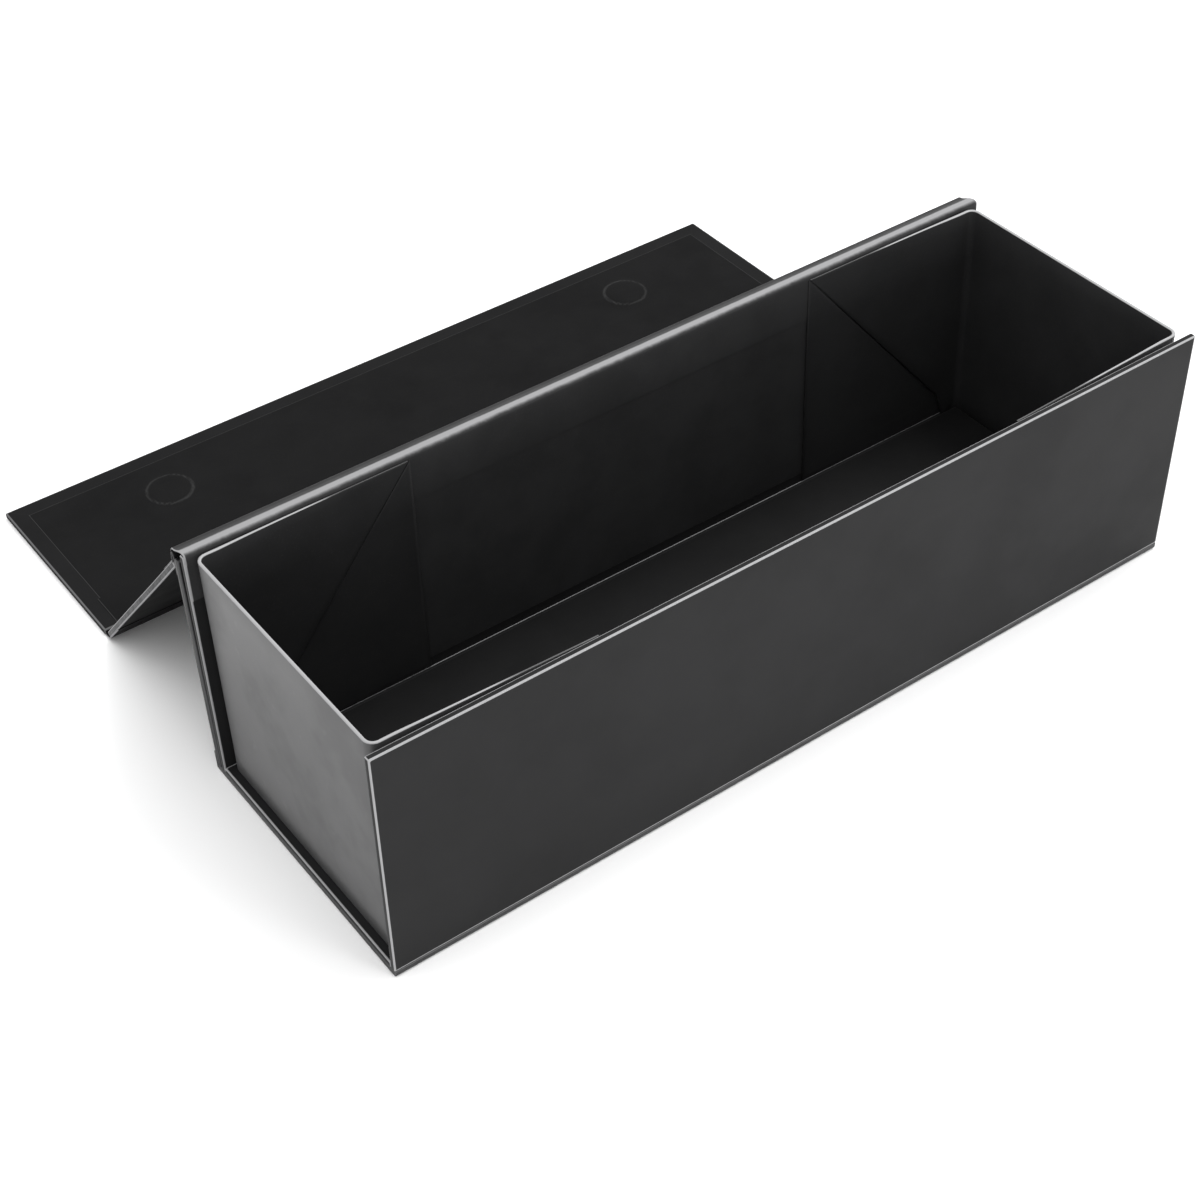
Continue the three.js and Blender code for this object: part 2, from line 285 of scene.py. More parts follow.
wrapLook = dict(
    grainScale=2600.0, mottleScale=26.0, smudgeScale=18.0,
    dark=(0.0135, 0.0135, 0.0138), light=(0.0155, 0.0155, 0.0159),
    speckle=0.2, speckColour=(0.024, 0.024, 0.025),
    lip=-50.0, lineDark=0.0, lineColour=(0.01, 0.01, 0.01), lipDepth=0.0,
    edgeHighlightColour=(0.32, 0.32, 0.325), edgeHighlightAmount=0.9, edgeHighlightWidth=0.42, edgeRough=0.06,
    roughness=(0.42, 0.50), rub=-0.04, toothStrength=0.35, toothDepth=0.05, specular=0.06)
# painted shade: the cover base and spine get a darker copy of the wrap, with dimmer edges, for lying
# under and behind the tray
coverLook = dict(wrapLook, dark=(0.007, 0.007, 0.0073), light=(0.009, 0.009, 0.0093),
                 edgeHighlightColour=(0.10, 0.10, 0.102), edgeHighlightAmount=0.7, specular=0.2)
liningLook = dict(
    wrapLook, grainScale=1500.0, mottleScale=40.0, smudgeScale=24.0,
    dark=(0.021, 0.021, 0.0215), light=(0.027, 0.027, 0.0277), speckle=0.35,
    speckColour=(0.04, 0.04, 0.041), edgeHighlightColour=(0.05, 0.05, 0.05), edgeHighlightAmount=0.6, edgeHighlightWidth=0.35,
    roughness=(0.60, 0.70), toothStrength=0.45, toothDepth=0.06, specular=0.16)
# rim: the lining with a light edge colour, painted highlight for the bend over the walls
rimLook = dict(liningLook, edgeHighlightColour=(0.27, 0.27, 0.275), edgeHighlightAmount=0.9, edgeHighlightWidth=0.42)
insertLook = dict(liningLook, dark=(0.0045, 0.0045, 0.0047), light=(0.006, 0.006, 0.0062),
                  speckColour=(0.012, 0.012, 0.0123), edgeHighlightAmount=0.25)
panelLiningLook = dict(liningLook, dark=(0.006, 0.006, 0.0062), light=(0.0072, 0.0072, 0.0074),
                       speckColour=(0.014, 0.014, 0.0143),
                       roughness=(0.68, 0.78), specular=0.05)
turnedLook = dict(wrapLook, dark=(0.0075, 0.0075, 0.0078), light=(0.0093, 0.0093, 0.0096), lip=15.0,
                  lineDark=0.3, lipDepth=0.06, roughness=(0.60, 0.70), specular=0.05)
# gusset card: its light edge colour paints highlights along the gussets' creases and the end walls'
# inside edges
gussetLook = dict(
    liningLook, dark=(0.017, 0.017, 0.0175), light=(0.021, 0.021, 0.0216), mottleScale=34.0,
    roughness=(0.52, 0.62), edgeHighlightColour=(0.40, 0.40, 0.405), edgeHighlightAmount=0.9, edgeHighlightWidth=0.42)
# end walls' outer faces: a lighter copy of the wrap, painted light for the bright light falling on the
# ends
endWallLitLook = dict(
    wrapLook, dark=(0.044, 0.044, 0.045), light=(0.050, 0.050, 0.051), mottleScale=22.0,
    roughness=(0.40, 0.50), specular=0.5)

materials = {
    "wrap": paperMaterial("softTouchWrap", wrapLook),
    "cover": paperMaterial("coverWrap", coverLook),
    "turned": paperMaterial("turnedInWrap", turnedLook),
    "flapWrap": paperMaterial("flapWrap", dict(turnedLook, edgeHighlightAmount=0.3)),
    "lining": paperMaterial("liningPaper", liningLook),
    "insert": paperMaterial("insertPaper", insertLook),
    "rim": paperMaterial("rimHighlight", rimLook),
    "panelLining": paperMaterial("panelLining", panelLiningLook),
    "gusset": paperMaterial("gussetCard", gussetLook),
    "endWallLit": paperMaterial("endWallLitWrap", endWallLitLook),
}
print("paper materials ready")


# mesh helpers; sizes in millimetres

edgeFade = 0.6  # how far the painted edge highlight reaches in from an edge
flatEdge = 0.42  # painted highlight on the flat of a panel's edge


def placed(y=0.0, z=0.0, turn=0.0):
    return Matrix.Translation((0, y, z)) @ Matrix.Rotation(turn, 4, "X")


def buildObject(name, points, faces, material, matrix=None, edge=None, place=None, creaseAngle=50.0):
    mesh = bpy.data.meshes.new(name)
    matrix = matrix or Matrix.Identity(4)
    mesh.from_pydata([tuple((matrix @ Vector(p)) * mm) for p in points], [], faces)
    mesh.validate()
    mesh.update()
    if edge is not None:
        mesh.attributes.new("edge", "FLOAT", "POINT").data.foreach_set("value", edge)
    flat = [c for p in (place or [(500.0, 500.0, 0.0)] * len(points)) for c in p]
    mesh.attributes.new("boardPlace", "FLOAT_VECTOR", "POINT").data.foreach_set("vector", flat)
    made = bpy.data.objects.new(name, mesh)
    bpy.context.scene.collection.objects.link(made)
    mesh.materials.append(material)
    mesh.polygons.foreach_set("use_smooth", [True] * len(mesh.polygons))
    mesh.set_sharp_from_angle(angle=math.radians(creaseAngle))
    return made


def nearEdge(gap):
    return max(0.0, 1.0 - max(gap, 0.0) / edgeFade)


# places from low to high, close together near both ends
def spread(low, high, step):
    near = [0.0, 0.5, 1.6, 4.0]
    length = high - low
    if length < 12:
        return [low, low + length / 3, high - length / 3, high]
    count = max(2, round((length - 8) / step))
    middle = [low + 4 + (length - 8) * i / count for i in range(1, count)]
    return [low + d for d in near] + middle + [high - d for d in reversed(near)]


# A board wrapped in paper: a slab with every edge rounded, its edges weighted for the painted highlight.
# warp(x, y) bends it, and swell(x, y) gives the lift of its upper face and how much painted highlight it
# carries there.
def wrappedBoard(name, matrix, size, look, radius=0.55, step=9.0, warp=None, swell=None,
                 sideShine=flatEdge):
    x0, x1, y0, y1, z0, z1 = size
    radius = min(radius, (z1 - z0) * 0.45)
    turns = [math.radians(a) for a in (12, 32, 52, 72, 90)]
    lead = [(x0 + radius * (1 - math.cos(a)), radius * (1 - math.sin(a))) for a in turns]
    tail = [(x0 + x1 - x, inset) for x, inset in reversed(lead)]
    stations = lead + [(x, 0.0) for x in spread(x0 + radius, x1 - radius, step)[1:-1]] + tail
    across = spread(y0 + radius, y1 - radius, step)
    corner = [math.radians(a) for a in (22.5, 45, 67.5)]
    points, edge, place, ringSize = [], [], [], 0
    for x, inset in stations:
        r = radius - inset
        ring = [(y, z0 + inset, 0) for y in across]
        ring += [(y1 - radius + r * math.sin(a), z0 + radius - r * math.cos(a), 2) for a in corner]
        ring += [(y1 - inset, z0 + radius, 3), (y1 - inset, z1 - radius, 3)]
        ring += [(y1 - radius + r * math.cos(a), z1 - radius + r * math.sin(a), 2) for a in corner]
        ring += [(y, z1 - inset, 1) for y in reversed(across)]
        ring += [(y0 + radius - r * math.sin(a), z1 - radius + r * math.cos(a), 2) for a in corner]
        ring += [(y0 + inset, z1 - radius, 3), (y0 + inset, z0 + radius, 3)]
        ring += [(y0 + radius - r * math.cos(a), z0 + radius - r * math.sin(a), 2) for a in corner]
        ringSize = len(ring)
        for y, z, side in ring:
            # edge weights for the painted highlight: full on the rounded corners, a set share on the
            # edge flats, fading in from the edges on the faces
            if inset > radius * 0.5:
                paintedShine = sideShine
            elif side == 2 or inset > 0:
                paintedShine = 1.0
            elif side == 3:
                paintedShine = sideShine
            else:
                paintedShine = nearEdge(min(y - y0, y1 - y, x - x0, x1 - x) - radius)
            edge.append(paintedShine)
            place.append((min(x - x0, x1 - x), min(y - y0, y1 - y), float(side)))
            lift = warp(x, y) if warp else 0.0
            if swell and side == 1:
                raised, shine = swell(x, y)
                lift += raised
                edge[-1] = max(edge[-1], shine)
            points.append((x, y, z + lift))
    faces = []
    for i in range(len(stations) - 1):
        for j in range(ringSize):
            k = (j + 1) % ringSize
            a, b = i * ringSize, (i + 1) * ringSize
            faces.append((a + j, a + k, b + k, b + j))
    faces.append(tuple(reversed(range(ringSize))))
    last = (len(stations) - 1) * ringSize
    faces.append(tuple(last + j for j in range(ringSize)))
    faces = [tuple(reversed(f)) for f in faces]
    return buildObject(name, points, faces, materials[look], matrix, edge, place)


# A strip of paper along the box: a line of (y, z) points, rounded off, with a thickness.
def paperStrip(name, line, thickness, ends, look, matrix=None, rounds=3, wave=0.0, edgeTips=True,
               rim=None):
    path = [Vector(p) for p in line]
    for _ in range(rounds):
        finer = [path[0]]
        for a, b in zip(path, path[1:]):
            finer += [a.lerp(b, 0.25), a.lerp(b, 0.75)]
        path = finer + [path[-1]]
    sides = []
    for i, point in enumerate(path):
        along = (path[min(i + 1, len(path) - 1)] - path[max(i - 1, 0)]).normalized()
        sides.append(Vector((-along.y, along.x)))
    x0, x1 = ends
    radius = thickness / 2
    turns = [math.radians(a) for a in (15, 45, 90)]
    lead = [(x0 + radius * (1 - math.cos(a)), math.sin(a)) for a in turns]
    tail = [(x0 + x1 - x, s) for x, s in reversed(lead)]
    stations = lead + [(x, 1.0) for x in spread(x0 + radius, x1 - radius, 8.0)[1:-1]] + tail
    points, edge = [], []
    count = len(path)
    for x, share in stations:
        ring = [p + s * radius * share for p, s in zip(path, sides)]
        ring += [p - s * radius * share for p, s in reversed(list(zip(path, sides)))]
        for index, p in enumerate(ring):
            along = index if index < count else 2 * count - 1 - index
            shift = wave * noise.noise(Vector((x * 0.02, along * 0.13, 3.7)))
            side = sides[along]
            points.append((x, p.x + side.x * shift, p.y + side.y * shift))
            # edge weights for the painted highlight: at the ends, the tips and along the rim
            gap = min(x - x0, x1 - x)
            tip = 1.0 if edgeTips and along in (0, count - 1) else 0.0
            shine = rim(path[along]) if rim else 0.0
            edge.append(max(tip, nearEdge(gap - radius), shine))
    size = 2 * count
    faces = []
    for i in range(len(stations) - 1):
        for j in range(size):
            k = (j + 1) % size
            a, b = i * size, (i + 1) * size
            faces.append((a + j, a + k, b + k, b + j))
    faces.append(tuple(reversed(range(size))))
    last = (len(stations) - 1) * size
    faces.append(tuple(last + j for j in range(size)))
    return buildObject(name, points, faces, materials[look], matrix, edge, creaseAngle=70)


def settle(made, body, slotName, *stands):
    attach(made, body)
    if stands:
        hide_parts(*stands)
    return made


def slowWarp(seed, height):
    def bend(x, y):
        return height * noise.noise(Vector((x * 0.011, y * 0.014, seed)))
    return bend


# cover: base and spine

box = dict(half=175.0, frontY=-58.5, backY=58.5, board=2.4, trayZ=2.5, floorZ=4.9, top=100.0)
half = box["half"]
board = box["board"]

coverParts = dict(spineHeight=93.0, spineLean=3.8, foldGap=0.3, foldLap=6.0, foldPaper=0.3)
spineTurn = math.atan(coverParts["spineLean"] / coverParts["spineHeight"])
spineFrame = placed(box["backY"], box["trayZ"], math.pi / 2 - spineTurn)

settle(wrappedBoard("coverBase", placed(), (-half, half, box["frontY"], box["backY"], 0, board), "cover",
                    radius=0.5, sideShine=0.72), "box", "wrapping_paper", "cover_base_wrap")
settle(wrappedBoard("spine", spineFrame, (-half, half, 0, coverParts["spineHeight"], 0, board), "cover",
                    warp=slowWarp(2.0, 0.12)), "box", "wrapping_paper", "spine_wrap")
foldY = box["backY"] + coverParts["foldGap"]
foldTop = (foldY + coverParts["foldLap"] * math.sin(spineTurn), board + coverParts["foldLap"])
settle(paperStrip("baseSpineFold", [(foldY, 0.35), (foldY, board), foldTop],
                  coverParts["foldPaper"], (-half, half), "cover", rounds=2),
       "box", "wrapping_paper", "base_spine_fold")
print("cover built")


# tray: front, base and back walls

trayParts = dict(frontHeight=97.5, baseFrontY=-56.0, baseBackY=52.6, backHeight=98.0, backLean=2.0,
                 backY=55.1, liningInset=6.0, liningFoot=1.98, liningTop=2.42, liningRound=0.14,
                 gussetFrontFoot=94.8, gussetFrontTop=0.3, gussetBackFoot=2.7, gussetBackTop=97.2,
                 gussetOuterX=168.0, gussetInnerX=88.5)
frontHeight, backHeight = trayParts["frontHeight"], trayParts["backHeight"]
trayTurn = math.atan(trayParts["backLean"] / backHeight)
frontFrame = placed(box["frontY"], box["top"], -math.pi / 2)
backFrame = placed(trayParts["backY"], box["trayZ"], math.pi / 2 - trayTurn)


def panelLining(name, matrix, y0, y1, warp=None):
    inset = trayParts["liningInset"]
    size = (inset - half, half - inset, y0 + inset, y1 - inset, trayParts["liningFoot"],
            trayParts["liningTop"])
    return wrappedBoard(name, matrix, size, "lining", radius=trayParts["liningRound"], warp=warp)


frontWarp, backWarp = slowWarp(5.0, 0.1), slowWarp(8.0, 0.1)
baseFrame = placed(0, box["trayZ"])
baseY = (trayParts["baseFrontY"], trayParts["baseBackY"])
settle(wrappedBoard("trayFront", frontFrame, (-half, half, 0, frontHeight, 0, board), "wrap",
                    warp=frontWarp), "box", "wrapping_paper", "tray_front_wrap")
settle(panelLining("trayFrontLining", frontFrame, 0, frontHeight, frontWarp), "box", "lining_paper",
       "tray_front_lining")
settle(wrappedBoard("trayBase", baseFrame, (-half, half, *baseY, 0, board), "wrap", radius=0.5),
       "box", "wrapping_paper", "tray_base_wrap")
settle(panelLining("trayBaseLining", baseFrame, *baseY), "box", "lining_paper", "tray_base_lining")
settle(wrappedBoard("trayBack", backFrame, (-half, half, 0, backHeight, 0, board), "wrap",
                    warp=backWarp), "box", "wrapping_paper", "tray_back_wrap")
settle(panelLining("trayBackLining", backFrame, 0, backHeight, backWarp), "box", "lining_paper",
       "tray_back_lining")
print("tray walls built")


# end walls, each in one piece with the upper halves of its two gussets

endParts = dict(outerX=171.8, frontY=-53.9, backY=51.8, corner=4.0, wall=1.2, ear=0.7, tip=89.3,
                start=162.0, foot=168.0, footZ=5.2, topZ=99.7, lift=0.25, creaseGap=0.8, tailX=163.0,
                top=100.0, rows=12, fadeLength=45.0)
earStations = (94.0, 100.0, 106.0, 112.0, 118.0, 124.0, 129.0, 133.0, 139.0, 146.0, 153.0, 159.0)


def earBottom(x):
    e = endParts
    slope = (e["topZ"] - e["footZ"]) / (e["foot"] - (e["tip"] - e["creaseGap"]))
    return e["footZ"] + (e["foot"] - x) * slope + e["creaseGap"]


def backFaceY(z):
    return trayParts["backY"] - board + (z - box["trayZ"]) * math.tan(trayTurn) - endParts["lift"]


# the back edge of an end wall leans with the tray's back
def backEdgeY(z):
    return endParts["backY"] + (z - box["floorZ"]) * math.tan(trayTurn)


def frontEdgeY(z):
    return endParts["frontY"]


def frontFaceY(z):
    return box["frontY"] + board + endParts["lift"]


# one gusset in plan, from its tip to the end wall
def earPlan(faceY, edgeY):
    e = endParts
    plan = []
    for x in (e["tip"], *earStations):
        share = (x - e["tip"]) / (e["start"] - e["tip"])
        thick = e["ear"] + (e["wall"] - e["ear"]) * share ** 6
        plan.append((x, lambda z, s=share: faceY(z) + (edgeY(z) - faceY(z)) * s, thick,
                     earBottom(x)))
    return plan


# the outer face in plan: (x, y at height z, thickness, bottom)
def endPlan():
    e = endParts
    low = box["floorZ"] + 0.1
    tail = e["outerX"] - e["corner"]
    angles = [math.radians(a) for a in range(0, 91, 15)]
    plan = earPlan(frontFaceY, frontEdgeY)
    plan.append((e["tailX"], frontEdgeY, e["wall"], low))
    plan += [(tail + e["corner"] * math.sin(t),
              lambda z, t=t: frontEdgeY(z) + e["corner"] * (1 - math.cos(t)), e["wall"], low)
             for t in angles]
    for i in range(1, 15):
        share = i / 15
        plan.append((e["outerX"], lambda z, s=share: (frontEdgeY(z) + e["corner"]) * (1 - s)
                     + (backEdgeY(z) - e["corner"]) * s, e["wall"], low))
    plan += [(tail + e["corner"] * math.sin(t),
              lambda z, t=t: backEdgeY(z) - e["corner"] * (1 - math.cos(t)), e["wall"], low)
             for t in reversed(angles)]
    plan.append((e["tailX"], backEdgeY, e["wall"], low))
    return plan + list(reversed(earPlan(backFaceY, backEdgeY)))


def endWall(name, side, *stands):
    plan = endPlan()
    rows = endParts["rows"]
    points, edge = [], []
    ringSize = 0
    for i, (x, yAt, thick, bottom) in enumerate(plan):
        share = min(max((x - endParts["tip"]) / endParts["fadeLength"], 0.0), 1.0)
        top = endParts["top"] - endParts["lift"] * (1 - share)
        r = thick * 0.42
        ring = []
        heights = [bottom + r + (top - bottom - 2 * r) * (k / rows) for k in range(rows + 1)]
        if top - bottom < 4:
            heights = [bottom + (top - bottom) * (0.2 + 0.6 * k / rows) for k in range(rows + 1)]
            r = (top - bottom) * 0.2
        # edge weights for the painted highlight: along the top rim and the bottom edge, faded out toward
        # the gusset tips
        ring += [(0.0, z, nearEdge(top - r - z) * 0.6) for z in heights]
        ring += [(thick / 2 - thick / 2 * math.cos(a), top - r + r * math.sin(a), 1.0)
                 for a in (math.radians(v) for v in (30, 60, 90, 120, 150))]
        ring += [(thick, z, nearEdge(top - r - z) * 0.6) for z in reversed(heights)]
        ring += [(thick / 2 + thick / 2 * math.cos(a), bottom + r - r * math.sin(a), flatEdge)
                 for a in (math.radians(v) for v in (45, 90, 135))]
        ringSize = len(ring)
        before, after = plan[max(i - 1, 0)], plan[min(i + 1, len(plan) - 1)]
        for inward, z, rim in ring:
            zed = min(max(z, 6.0), 99.0)
            tangent = Vector((after[0] - before[0], after[1](zed) - before[1](zed))).normalized()
            normal = Vector((-tangent.y, tangent.x))
            at = Vector((x, yAt(zed))) + normal * inward
            points.append((side * at.x, at.y, z))
            edge.append(rim * share)
    faces, inside = [], []
    for i in range(len(plan) - 1):
        for j in range(ringSize):
            k = (j + 1) % ringSize
            a, b = i * ringSize, (i + 1) * ringSize
            faces.append((a + j, b + j, b + k, a + k))
            inside.append(int(j > rows + 3))
    inside += [1, 1]
    faces.append(tuple(range(ringSize)))
    last = (len(plan) - 1) * ringSize
    faces.append(tuple(last + j for j in reversed(range(ringSize))))
    if side < 0:
        faces = [tuple(reversed(f)) for f in faces]
    # the outer faces take the lighter, painted-light copy of the wrap
    made = buildObject(name, points, faces, materials["endWallLit"], None, edge, creaseAngle=60)
    made.data.materials.append(materials["gusset"])
    made.data.polygons.foreach_set("material_index", inside)
    return settle(made, "box", "gusset_card", *stands)


for sideName, side in (("left", -1), ("right", 1)):
    endWall(f"{sideName}EndWall", side, f"{sideName}_end_wall", f"{sideName}_front_gusset_upper",
            f"{sideName}_back_gusset_upper")


# the lower half of each gusset, flat on its wall
def lowerGusset(name, matrix, side, bottom, top, stand):
    outer, inner = side * trayParts["gussetOuterX"], side * trayParts["gussetInnerX"]
    corners = [(outer, bottom), (inner, bottom), (inner, top)]
    centre = Vector((sum(c[0] for c in corners) / 3, sum(c[1] for c in corners) / 3))
    rings = []
    # how far in from the triangle's edge, and how high off the wall
    for inset, z in ((0.25, 2.5), (0.0, 2.65), (0.0, 3.0), (0.1, 3.13), (0.3, 3.2), (3.0, 3.2)):
        ring = []
        for c in corners:
            v = Vector(c)
            ring.append((*(v + (centre - v).normalized() * inset), z))
        rings.append(ring)
    points = [p for ring in rings for p in ring]
    # painted highlight along the triangle's edges
    edge = [flatEdge] * 15 + [0.0] * 3
    faces = [(0, 1, 2), (15, 17, 16)]
    for i in range(len(rings) - 1):
        for j in range(3):
            k = (j + 1) % 3
            faces.append((i * 3 + j, (i + 1) * 3 + j, (i + 1) * 3 + k, i * 3 + k))
    if side * (top - bottom) < 0:
        faces = [tuple(reversed(f)) for f in faces]
    made = buildObject(name, points, faces, materials["gusset"], matrix, edge)
    return settle(made, "box", "gusset_card", stand)


for sideName, side in (("left", -1), ("right", 1)):
    lowerGusset(f"{sideName}FrontGussetFoot", frontFrame, side,
                trayParts["gussetFrontFoot"], trayParts["gussetFrontTop"],
                f"{sideName}_front_gusset_lower")
    lowerGusset(f"{sideName}BackGussetFoot", backFrame, side,
                trayParts["gussetBackFoot"], trayParts["gussetBackTop"],
                f"{sideName}_back_gusset_lower")
print("end walls and gussets built")


# loose floor insert

insert = dict(halfX=169.7, frontY=-51.8, backY=49.7, z=5.0, thick=1.6)
settle(wrappedBoard("floorInsert", placed(0, insert["z"]),
                    (-insert["halfX"], insert["halfX"], insert["frontY"], insert["backY"], 0,
                     insert["thick"]), "insert", radius=0.45),
       "insert", "insert_card", "floor_insert")


# lid and flap

lid = dict(axisY=64.2, axisZ=98.4, rise=3.3, near=4.2, reach=125.8, foldDepth=0.5, foldGap=2.6)
axisDepth = lid["rise"] + board - lid["foldDepth"]
slope = math.asin((lid["axisZ"] - lid["foldDepth"]) / math.hypot(lid["reach"], axisDepth)) \
    - math.atan(axisDepth / lid["reach"])
lidAxis = placed(lid["axisY"], lid["axisZ"], -slope)
lidFrame = lidAxis @ placed(0, -lid["rise"] - board)
flapAxis = lidAxis @ placed(lid["reach"], -axisDepth, slope)
flapFrame = flapAxis @ placed(0, -lid["foldDepth"])
lidFar = lid["reach"] - lid["foldGap"]

flap = dict(length=90.0, magnetX=115.0, magnetY=63.0, magnetRadius=9.4, magnetHeight=0.4,
            magnetShoulder=2.0, magnetGlint=0.86, glintWidth=2.0, liningInset=7.0, liningTop=2.44)


# the lining stretched over each magnet: a low flat disc with a soft shoulder, ringed by a painted
# highlight
def magnetSwell(x, y):
    lift, ring = 0.0, 0.0
    for cx in (-flap["magnetX"], flap["magnetX"]):
        d = math.hypot(x - cx, y - flap["magnetY"])
        t = min(max((flap["magnetRadius"] + flap["magnetShoulder"] / 2 - d) / flap["magnetShoulder"],
                    0.0), 1.0)
        lift += flap["magnetHeight"] * t * t * (3 - 2 * t)
        # painted highlight ring round the magnet's shoulder, fed into the edge mask
        ring += flap["magnetGlint"] * math.exp(-((d - flap["magnetRadius"]) / flap["glintWidth"]) ** 2)
    return lift, ring


inset = flap["liningInset"]
liningZ = (trayParts["liningFoot"], flap["liningTop"])
lidWarp = slowWarp(14.0, 0.15)
settle(wrappedBoard("lid", lidFrame, (-half, half, lid["near"], lidFar, 0, board), "turned",
                    warp=lidWarp, sideShine=0.7), "lid", "wrapping_paper", "lid_wrap")
settle(wrappedBoard("lidLining", lidFrame,
                    (inset - half, half - inset, lid["near"] + inset, lidFar - inset, *liningZ),
                    "panelLining", radius=trayParts["liningRound"], warp=lidWarp),
       "lid", "lining_paper", "lid_lining")
settle(wrappedBoard("flap", flapFrame, (-half, half, lid["foldGap"], flap["length"], 0, board),
                    "flapWrap"), "flap", "wrapping_paper", "flap_wrap")
settle(wrappedBoard("flapLining", flapFrame,
                    (inset - half, half - inset, lid["foldGap"] + inset, flap["length"] - inset,
                     *liningZ),
                    "panelLining", radius=trayParts["liningRound"], step=1.4, swell=magnetSwell),
       "flap", "lining_paper", "flap_lining")
print("lid and flap built, slope", round(math.degrees(slope), 2))


# paper hinges

def world(matrix, points):
    return [tuple((matrix @ Vector((0, y, z))).yz) for y, z in points]


def hinge(made, bodies, start, end, slotName, *stands):
    if stands:
        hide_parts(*stands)
    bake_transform(made)


backHinge = dict(lining=0.42, outer=0.3, endInset=0.5, wave=0.02, lap=18.0, bendStart=(0, 63.2, 98.4),
                 bendEnd=(0, 65.1, 97.4), shineFoot=97.5, shineFrom=2.6, shinePeak=1.15, shineFall=0.22,
                 outerBend=1.1)
fold = dict(outer=0.3, lining=0.36, lap=18.0, liningLap=20.0, offset=0.14, liningInset=6.0,
            bendFrom=1.4)

# lining: up the tray's back wall, over its top and the spine's, through the axis and onto the lid
lidInner = -lid["rise"]
lidOuter = -lid["rise"] - board
backTopY = backFaceY(box["top"]) + endParts["lift"]
rimLine = [(backTopY - 0.45, 82.0), (backTopY - 0.30, 99.6), (backTopY + 0.1, 101.0),
           (backTopY + 1.7, 101.2), (backTopY + 3.4, 100.7), (backTopY + 5.4, 99.75), (61.6, 98.95),
           (62.8, 98.5), (64.2, 98.3)]
rimLine += world(lidAxis, [(1.4, -0.5), (2.8, -1.9), (4.3, lidInner + 0.16), (6.0, lidInner + 0.18),
                           (backHinge["lap"], lidInner + 0.18)])


# painted highlight on the paper where it bends over the two walls
def rimShine(point):
    if point.y < backHinge["shineFoot"]:
        return 0.0
    away = abs(point.x - backTopY - backHinge["shineFrom"])
    return min(1.0, max(0.0, backHinge["shinePeak"] - away * backHinge["shineFall"]))


rimEnds = (backHinge["endInset"] - half, half - backHinge["endInset"])
rimStrip = paperStrip("backHingeLining", rimLine, backHinge["lining"], rimEnds, "rim",
                      wave=backHinge["wave"], edgeTips=False, rim=rimShine)
rimStrip.data.materials.append(materials["panelLining"])
for polygon in rimStrip.data.polygons:
    polygon.material_index = int(polygon.center.y > lid["axisY"] * mm)
hinge(rimStrip, ("box", "lid"), backHinge["bendStart"], backHinge["bendEnd"], "lining_paper",
      "back_rim_lining", "lid_hinge_strip")

# wrapping paper: up the spine, round the axis and into the lid's near edge
outerLine = world(spineFrame, [(86.0, -0.12), (91.8, -0.12), (93.0, -0.05)])
outerLine += [(62.9, 97.0), (63.9, 97.3)] + world(lidAxis, [(2.6, -2.4), (3.9, -3.7), (4.6, -4.0)])
outerStrip = paperStrip("spineHinge", outerLine, backHinge["outer"], (-half, half), "cover",
                        edgeTips=False)
acrossSpine = Vector((math.cos(spineTurn), -math.sin(spineTurn)))
outerStart = Vector(world(spineFrame, [(91.0, -0.9)])[0])
outerEnd = outerStart + acrossSpine * backHinge["outerBend"]
hinge(outerStrip, ("box", "lid"), (0, *outerStart), (0, *outerEnd), "wrapping_paper")

# both papers across the fold between lid and flap
lidEnd = lid["reach"]
foldLine = world(lidAxis, [(lidEnd - fold["lap"], lidOuter - fold["offset"]),
                           (lidEnd - 2.8, lidOuter - fold["offset"]), (lidEnd - 1.2, lidOuter + 0.1)])
foldLine += world(flapAxis, [(1.2, -0.34), (2.8, -0.34), (fold["lap"], -0.34)])
foldStrip = paperStrip("lidFlapFold", foldLine, fold["outer"], (-half, half), "turned",
                       edgeTips=False)
foldStart = world(lidAxis, [(lidEnd - fold["bendFrom"], -axisDepth)])[0]
foldEnd = world(flapAxis, [(fold["bendFrom"], 0.0)])[0]
hinge(foldStrip, ("lid", "flap"), (0, *foldStart), (0, *foldEnd), "wrapping_paper", "lid_fold_strip",
      "flap_fold_strip")
innerLine = world(lidAxis, [(lidEnd - fold["liningLap"], lidInner + fold["offset"]),
                            (lidEnd - 3.2, lidInner + fold["offset"]), (lidEnd - 1.6, lidInner - 0.5)])
innerLine += world(flapAxis, [(0.0, 0.3), (1.6, 1.2), (3.2, 2.06), (fold["liningLap"], 2.06)])
innerEnds = (fold["liningInset"] - half, half - fold["liningInset"])
innerStrip = paperStrip("foldLining", innerLine, fold["lining"], innerEnds, "panelLining",
                        edgeTips=False)
hinge(innerStrip, ("lid", "flap"), (0, *foldStart), (0, *foldEnd), "lining_paper")
print("hinges built")


# carried-over pieces inside the paper

